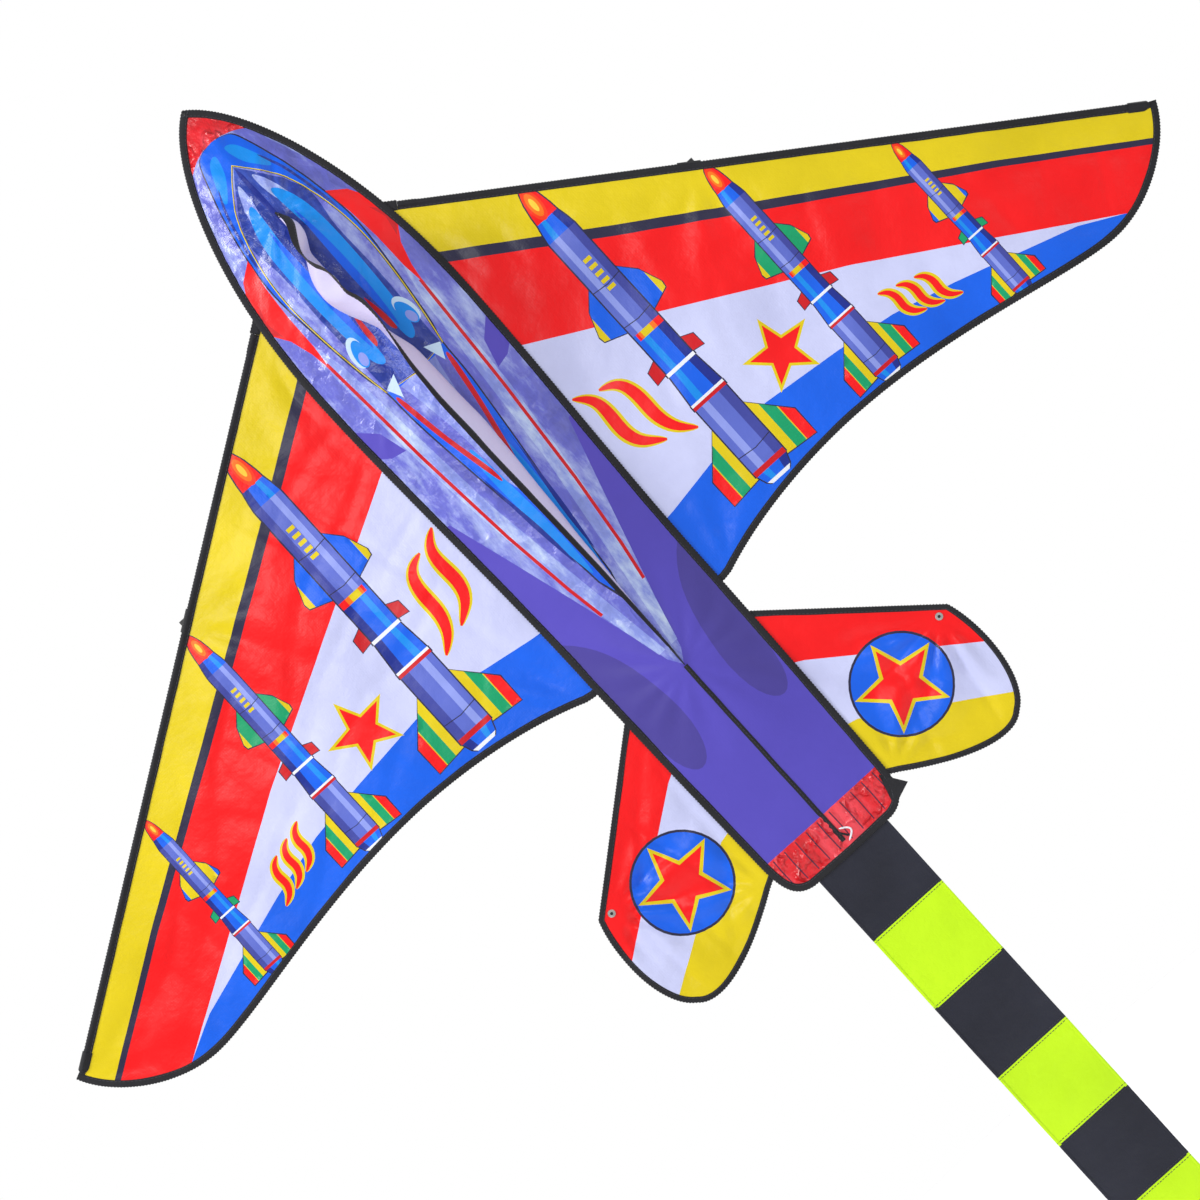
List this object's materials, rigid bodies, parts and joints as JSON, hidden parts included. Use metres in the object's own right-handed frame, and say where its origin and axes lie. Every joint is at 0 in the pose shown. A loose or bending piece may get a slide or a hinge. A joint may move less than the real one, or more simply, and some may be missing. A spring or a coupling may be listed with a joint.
{
  "type": "airplane kite",
  "caption": "Plane-shaped single-line kite with a rod frame behind printed sails, a keel with a tow eyelet and a striped ribbon tail.",
  "frame": {"origin": "centre of the tow eyelet in the keel, where the flying line ties on", "axes": "+X to the wing on the right as the printed face is seen, +Y back through the sails towards the rod frame, +Z along the body towards the nose"},
  "size_m": [1.4586, 0.127, 1.6358],
  "materials": {
    "body_cloth": "satin woven nylon, printed",
    "wing_cloth": "satin woven nylon, printed",
    "tailplane_cloth": "satin woven nylon, printed",
    "keel_cloth": "satin woven nylon",
    "tape": "matte woven edge tape",
    "ribbon_black": "thin woven nylon",
    "ribbon_lime": "thin woven nylon",
    "band": "flat cotton tape",
    "rod": "glass fibre rod",
    "fitting": "moulded black plastic",
    "eyelet_metal": "nickel-plated rolled eyelet"
  },
  "bodies": {
    "fuselage": {"spine_rod": "rod", "spine_nose_cap": "fitting", "spine_tail_cap": "fitting", "spine_sleeve_front": "tape", "spine_sleeve_rear": "tape", "nose_pocket": "tape", "tail_pocket": "tape", "wing_cross_clip": "fitting", "tail_cross_clip": "fitting", "body_back_panel": "body_cloth", "belly_panel_left": "body_cloth", "belly_panel_right": "body_cloth", "body_edge_tape": "tape", "belly_seam_tape": "tape", "wing_centre_panel": "wing_cloth", "tailplane_centre_panel": "tailplane_cloth", "ribbon_tab": "ribbon_black"},
    "wing_spreader": {"wing_spreader_rod": "rod", "wing_spreader_caps": "fitting"},
    "tail_spreader": {"tail_spreader_rod": "rod", "tail_spreader_caps": "fitting"},
    "wing_left": {"wing_left_sail": "wing_cloth", "wing_left_edge_rod": "rod", "wing_left_edge_sleeve": "tape", "wing_left_rod_root_cap": "fitting", "wing_left_rod_tip_cap": "fitting", "wing_left_tip_pocket": "tape", "wing_left_edge_tape": "tape", "wing_left_spreader_clip": "fitting"},
    "wing_right": {"wing_right_sail": "wing_cloth", "wing_right_edge_rod": "rod", "wing_right_edge_sleeve": "tape", "wing_right_rod_root_cap": "fitting", "wing_right_rod_tip_cap": "fitting", "wing_right_tip_pocket": "tape", "wing_right_edge_tape": "tape", "wing_right_spreader_clip": "fitting"},
    "tailplane_left": {"tailplane_left_sail": "tailplane_cloth", "tailplane_left_edge_tape": "tape", "tailplane_left_eyelet": "eyelet_metal", "tailplane_left_spreader_clip": "fitting"},
    "tailplane_right": {"tailplane_right_sail": "tailplane_cloth", "tailplane_right_edge_tape": "tape", "tailplane_right_eyelet": "eyelet_metal", "tailplane_right_spreader_clip": "fitting"},
    "keel": {"keel_flap": "keel_cloth", "keel_edge_tape": "tape", "tow_eyelet": "eyelet_metal"},
    "ribbon_upper": {"ribbon_panel_1": "ribbon_black", "ribbon_panel_2": "ribbon_lime", "ribbon_panel_3": "ribbon_black"},
    "ribbon_lower": {"ribbon_panel_4": "ribbon_lime", "ribbon_panel_5": "ribbon_black", "ribbon_panel_6": "ribbon_lime", "ribbon_bundle": "ribbon_lime", "ribbon_band": "band"}
  },
  "joints": [
    {"name": "keel_swing", "type": "hinge", "parent": "fuselage", "child": "keel", "pos_m": [0, 0.08, -0.201], "axis": [0, 0, 1], "range_deg": [-80, 80]},
    {"name": "wing_right_fold", "type": "hinge", "parent": "fuselage", "child": "wing_right", "pos_m": [0.097, 0.1025, -0.216], "axis": [0, 0, -1], "range_deg": [0, 85]},
    {"name": "wing_left_fold", "type": "hinge", "parent": "fuselage", "child": "wing_left", "pos_m": [-0.097, 0.1025, -0.216], "axis": [0, 0, 1], "range_deg": [0, 85]},
    {"name": "tailplane_right_fold", "type": "hinge", "parent": "fuselage", "child": "tailplane_right", "pos_m": [0.088, 0.1025, -0.62], "axis": [0, 0, -1], "range_deg": [0, 85]},
    {"name": "tailplane_left_fold", "type": "hinge", "parent": "fuselage", "child": "tailplane_left", "pos_m": [-0.088, 0.1025, -0.62], "axis": [0, 0, 1], "range_deg": [0, 85]},
    {"name": "wing_spreader_release", "type": "slide", "parent": "fuselage", "child": "wing_spreader", "axis": [0, 1, 0], "range_m": [0, 0.05]},
    {"name": "tail_spreader_release", "type": "slide", "parent": "fuselage", "child": "tail_spreader", "axis": [0, 1, 0], "range_m": [0, 0.04]},
    {"name": "ribbon_swing", "type": "hinge", "parent": "fuselage", "child": "ribbon_upper", "pos_m": [0, 0.1025, -0.7595], "axis": [1, 0, 0], "range_deg": [-60, 60]},
    {"name": "ribbon_bend", "type": "hinge", "parent": "ribbon_upper", "child": "ribbon_lower", "pos_m": [0, 0.1025, -1.0205], "axis": [1, 0, 0], "range_deg": [-60, 60]}
  ]
}
